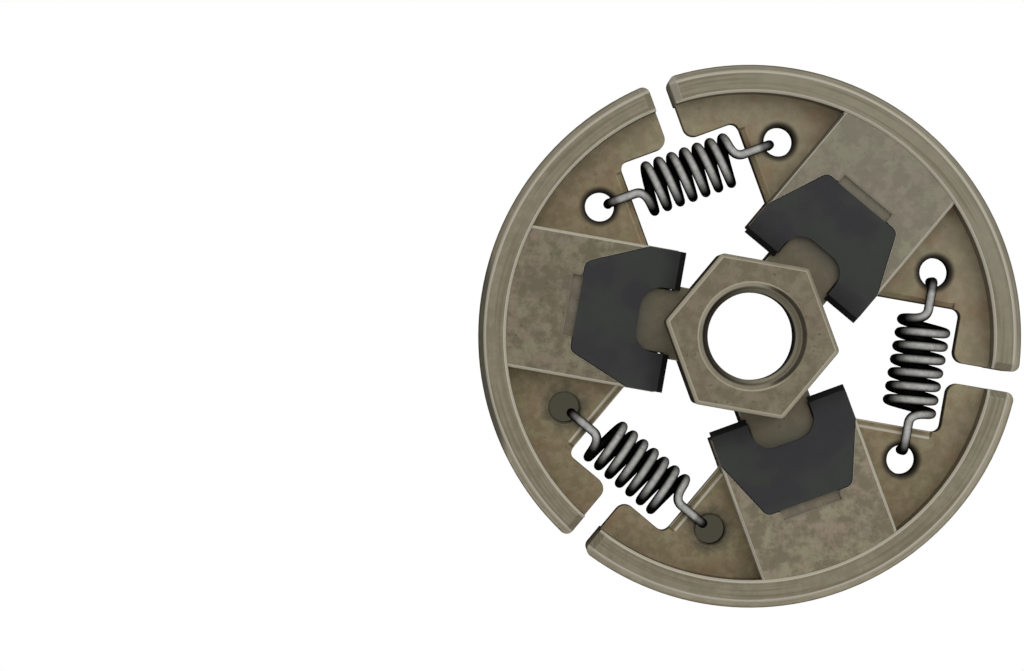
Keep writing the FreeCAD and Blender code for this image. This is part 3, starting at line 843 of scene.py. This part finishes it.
def wire_line():
    """Middle line of half a spring, the direction of its painted highlight and the highlight's strength, as
    arrays.

    From the spring's middle the wire is a right-hand helix about X that starts at the back, and its painted
    highlight lies on the outer side. Then a cubic curve swings it onto the straight hook in front of the web,
    and a quarter bend takes it down through the hook hole. There the painted highlight lies on the front of
    the hook.
    The highlight is strongest on the hook, fades over the end of its straight part and the bend, and the tail
    has none.
    """
    angle = np.linspace(0.0, math.pi * COIL_TURNS - LEAD_ANGLE, COIL_POINTS)
    radial = np.stack([0 * angle, np.sin(angle), -np.cos(angle)], 1)
    coil = COIL_R * radial
    coil[:, 0] = COIL_PITCH * angle / (2 * math.pi)
    leaving = coil[-1] - coil[-2]
    leaving = leaving / np.linalg.norm(leaving)
    front = np.array([0.0, 0.0, 1.0])
    hook_z = HOOK_Z - MID_Z
    hook_start = np.array([COIL_HALF + HOOK_LEAD, 0.0, hook_z])
    t = np.linspace(0.0, 1.0, LEAD_POINTS + 1)[1:, None]
    s = 1.0 - t
    start_pull = coil[-1] + leaving * LEAD_PULL
    end_pull = hook_start - np.array([LEAD_PULL, 0.0, 0.0])
    lead = coil[-1] * s ** 3 + start_pull * (3 * s * s * t) + end_pull * (3 * s * t * t) + hook_start * t ** 3
    lead_side = radial[-1] * s + front * t
    straight = np.array([[HOOK_W - HOOK_BEND_R - HOOK_DARK, 0.0, hook_z]])
    turn = np.linspace(0.0, math.pi / 2, BEND_POINTS)
    bend = np.stack([HOOK_W - HOOK_BEND_R * (1 - np.sin(turn)), 0 * turn,
                     hook_z - HOOK_BEND_R * (1 - np.cos(turn))], 1)
    bend_side = np.stack([np.sin(turn), 0 * turn, np.cos(turn)], 1)
    drop = np.linspace(hook_z - HOOK_BEND_R, WEB_BOTTOM - MID_Z - HOOK_TAIL, TAIL_POINTS + 1)[1:]
    tail = np.stack([0 * drop + HOOK_W, 0 * drop, drop], 1)
    tail_side = np.tile((1.0, 0.0, 0.0), (TAIL_POINTS, 1))
    line = np.concatenate([coil, lead, straight, bend, tail])
    side = np.concatenate([radial, lead_side, front[None, :], bend_side, tail_side])
    lead_shine = np.linspace(1.0, HOOK_SHINE, LEAD_POINTS)
    bend_shine = BEND_SHINE * np.cos(turn) ** BEND_FADE
    shine = np.concatenate([np.ones(COIL_POINTS), lead_shine, [HOOK_SHINE], bend_shine,
                            np.zeros(TAIL_POINTS)])
    return line, side, shine


def highlight_values(side, shine, around):
    """Strength of the wire's painted highlight at each point of its circles.

    It rises smoothly from 0 to 1 round each circle toward the side direction, times the shine. It fades
    where that direction turns from the front or back of the spring, more so away from the first arm, the
    side of the key light.
    """
    facing = rise(np.cos(around), *HIGHLIGHT_SPAN)
    facing = facing * facing * (3.0 - 2.0 * facing)
    lit = np.abs(side[:, 2]) + HIGHLIGHT_LEAN * (side @ np.array(ARM_WAY))
    return np.clip(np.outer(shine * rise(lit, *FRONT_SPAN), facing), 0.0, 1.0)


def wire_mesh(name, line, side, shine):
    """Round wire along a line: circles square to the line, joined by quads, with a point closing each end.

    The last circle shrinks to a short dome at the wire's cut end. A point attribute holds the strength of the
    wire's painted highlight.
    """
    ahead = np.gradient(line, axis=0)
    ahead = ahead / np.linalg.norm(ahead, axis=1, keepdims=True)
    first = side - ahead * np.sum(side * ahead, 1, keepdims=True)
    first = first / np.linalg.norm(first, axis=1, keepdims=True)
    second = np.cross(ahead, first)
    around = np.linspace(0.0, 2 * math.pi, WIRE_SIDES, endpoint=False)
    size = np.full(len(line), WIRE_R)
    size[-1] = CUT_END * WIRE_R
    circle = np.cos(around)[:, None] * first[:, None, :] + np.sin(around)[:, None] * second[:, None, :]
    rings = line[:, None, :] + size[:, None, None] * circle
    points = np.concatenate([rings.reshape(-1, 3), line[:1], line[-1:] + CUT_DOME * WIRE_R * ahead[-1:]])
    row = np.arange(len(line) - 1)[:, None] * WIRE_SIDES
    column = np.arange(WIRE_SIDES)
    following = (column + 1) % WIRE_SIDES
    above = row + WIRE_SIDES
    quads = np.stack([row + column, row + following, above + following, above + column], 2)
    last = (len(line) - 1) * WIRE_SIDES
    near_pole = len(line) * WIRE_SIDES
    start_cap = np.stack([0 * column + near_pole, following, column], 1)
    end_cap = np.stack([0 * column + near_pole + 1, last + column, last + following], 1)
    mesh = bpy.data.meshes.new(name)
    faces = quads.reshape(-1, 4).tolist() + start_cap.tolist() + end_cap.tolist()
    mesh.from_pydata(points.tolist(), [], faces)
    # Strength of the painted highlight at every point, and none at the two poles
    painted_highlight = np.concatenate([highlight_values(side, shine, around).ravel(), np.zeros(2)])
    mesh.attributes.new("painted_highlight", "FLOAT", "POINT").data.foreach_set("value", painted_highlight)
    mesh.shade_smooth()
    return mesh


def turned(points, azimuth):
    """Points given about the +Y axis, turned about the clutch's axis so that +Y comes to an azimuth."""
    turn = azimuth - math.pi / 2
    spin = np.array([[math.cos(turn), math.sin(turn), 0], [-math.sin(turn), math.cos(turn), 0], [0, 0, 1]])
    return points @ spin


def make_springs(material):
    """Each tension spring in two halves that meet at its middle.

    A half reaches from its shoe to the spring's middle.
    """
    line, side, shine = wire_line()
    half_turn = np.array([-1.0, -1.0, 1.0])
    shift = np.array([0.0, SPRING_R, MID_Z])
    for n in range(SHOE_COUNT):
        azimuth = FIRST_ARM + PITCH * (n + 0.5)
        for flip, shoe in ((np.ones(3), n + 1), (half_turn, (n + 1) % SHOE_COUNT + 1)):
            path = turned(line * flip + shift, azimuth)
            name = "tension_spring_%d_to_shoe_%d" % (n + 1, shoe)
            piece = mesh_object(name, wire_mesh(name, path, turned(side * flip, azimuth), shine), material)
            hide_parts("tension_spring_%d" % (n + 1))
            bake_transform(piece)


def make_thread(material):
    """Left-hand thread lining the front of the bore: a closed sleeve with ridges along a helix inside.

    The inner wall is a grid over height and angle. Its radius is the bore's, less the thread's depth times a
    triangle wave of the height in pitches plus the angle in turns. The wave is flattened at root and crest,
    and the depth runs out over one pitch at both ends. The outer wall is plain and lies on the bore.
    """
    low = THREAD_LOW
    high = CARRIER_H - BORE_CHAMFER
    height = np.linspace(low, high, THREAD_ROWS)[:, None]
    angle = np.linspace(0.0, 2 * math.pi, THREAD_COLUMNS, endpoint=False)[None, :]
    phase = (height / THREAD_PITCH + angle / (2 * math.pi)) % 1.0
    wave = np.clip(FLANK_SLOPE * np.abs(2.0 * phase - 1.0) - ROOT_FLAT, 0.0, 1.0)
    from_end = np.minimum(height - low, high - height)
    depth = THREAD_DEPTH * np.clip(from_end / THREAD_PITCH, 0.0, 1.0)
    inner = THREAD_R - THREAD_SKIN - depth * wave
    radius = np.concatenate([inner, np.full((2, THREAD_COLUMNS), THREAD_R)])
    level = np.concatenate([height, [[high], [low]]])
    points = np.stack(np.broadcast_arrays(radius * np.cos(angle), radius * np.sin(angle), level), 2)
    rows = len(radius)
    row = np.arange(rows)[:, None] * THREAD_COLUMNS
    above = (row + THREAD_COLUMNS) % (rows * THREAD_COLUMNS)
    column = np.arange(THREAD_COLUMNS)
    following = (column + 1) % THREAD_COLUMNS
    quads = np.stack([row + column, above + column, above + following, row + following], 2)
    mesh = bpy.data.meshes.new("bore_thread")
    mesh.from_pydata(points.reshape(-1, 3).tolist(), [], quads.reshape(-1, 4).tolist())
    mesh.shade_smooth()
    mesh.set_sharp_from_angle(angle=SHARP)
    piece = mesh_object("bore_thread", mesh, material)
    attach(piece, "carrier")


def make_floor():
    """Level white floor. The camera sees it plain white, and to every other ray it is a dark matt table.

    Two soft marks of painted shadow lie under the hook holes beside the second gap.
    """
    half = FLOOR_HALF
    corners = [(-half, -half, FLOOR_LEVEL), (half, -half, FLOOR_LEVEL),
               (half, half, FLOOR_LEVEL), (-half, half, FLOOR_LEVEL)]
    mesh = bpy.data.meshes.new("floor")
    mesh.from_pydata(corners, [], [(0, 1, 2, 3)])
    material, tree, shader, where = new_material("floor_white")
    shader.inputs["Base Color"].default_value = FLOOR_TABLE
    shader.inputs["Roughness"].default_value = TABLE_ROUGH
    colour = WHITE
    # Painted shadows under the two hook holes beside the second gap
    holes = np.array([[HOOK_HOLE_W, SPRING_R, 0.0], [-HOOK_HOLE_W, SPRING_R, 0.0]])
    for mark in turned(holes, FIRST_ARM + 1.5 * PITCH).tolist():
        away = vector_maths(tree, "DISTANCE", where.outputs["Object"], mark)["Value"]
        colour = tint(tree, ramp(tree, away, *HOLE_SHADOW_SPAN), colour, FLOOR_HOLE_SHADOW)
    glow = add(tree, "ShaderNodeEmission", {"Color": colour, "Strength": 1.0})
    seen = tree.nodes.new("ShaderNodeLightPath")
    mix = add(tree, "ShaderNodeMixShader",
              {0: seen.outputs["Is Camera Ray"], 1: shader.outputs[0], 2: glow.outputs[0]})
    tree.links.new(mix.outputs[0], tree.nodes["Material Output"].inputs["Surface"])
    floor = mesh_object("floor", mesh, material)


def make_light():
    """Soft key panel from the upper right and an even tent of light that fades toward the horizon.

    The camera sees the tent plain white, and below the horizon it is dark.
    """
    panel = bpy.data.lights.new("key_panel", "AREA")
    panel.shape = "SQUARE"
    panel.size = KEY_SIZE
    panel.energy = KEY_POWER
    lamp = bpy.data.objects.new("key_panel", panel)
    lamp.location = KEY_PLACE
    lamp.rotation_euler = lamp.location.to_track_quat("Z", "Y").to_euler()
    bpy.context.scene.collection.objects.link(lamp)
    world = bpy.data.worlds.new("light_tent")
    bpy.context.scene.world = world
    world.use_nodes = True
    tree = world.node_tree
    where = tree.nodes.new("ShaderNodeTexCoord")
    height = add(tree, "ShaderNodeSeparateXYZ", {0: where.outputs["Generated"]}).outputs[2]
    tent = tint(tree, ramp(tree, height, *TENT_RISE), TENT_LOW, TENT_HIGH)
    seen = tree.nodes.new("ShaderNodeLightPath")
    sky = tint(tree, seen.outputs["Is Camera Ray"], tent, WHITE)
    tree.links.new(sky, tree.nodes["Background"].inputs["Color"])


def make_camera():
    """Camera straight above the middle of the photograph's frame."""
    lens = bpy.data.cameras.new("photo_view")
    lens.lens = SENSOR_MM * FOCAL_PX / PHOTO_WIDTH_PX
    lens.sensor_width = SENSOR_MM
    lens.clip_start = 0.01
    lens.clip_end = 10.0
    camera = bpy.data.objects.new("photo_view", lens)
    camera.location = CAMERA_PLACE
    bpy.context.scene.collection.objects.link(camera)
    bpy.context.scene.camera = camera
    bpy.context.scene.view_settings.view_transform = "Standard"


def main():
    arm_frame = make_arm_frame()
    sinter_grain = make_sinter_grain()
    edge_turn = make_edge_turn()
    shoe_steel = make_shoe_steel(arm_frame, sinter_grain, edge_turn)
    carrier_steel = make_carrier_steel(arm_frame, sinter_grain, edge_turn)
    plastic = make_retainer_plastic(arm_frame)
    wire = make_spring_wire()
    eased_copy("clutch_carrier", "carrier", carrier_steel, STEEL_EASE)
    for n in range(1, SHOE_COUNT + 1):
        body = "shoe_set_%d" % n
        eased_copy("shoe_%d" % n, body, shoe_steel, STEEL_EASE)
        eased_copy("retainer_%d" % n, body, plastic, PLASTIC_EASE)
    make_springs(wire)
    make_thread(carrier_steel)
    make_floor()
    make_light()
    make_camera()


main()
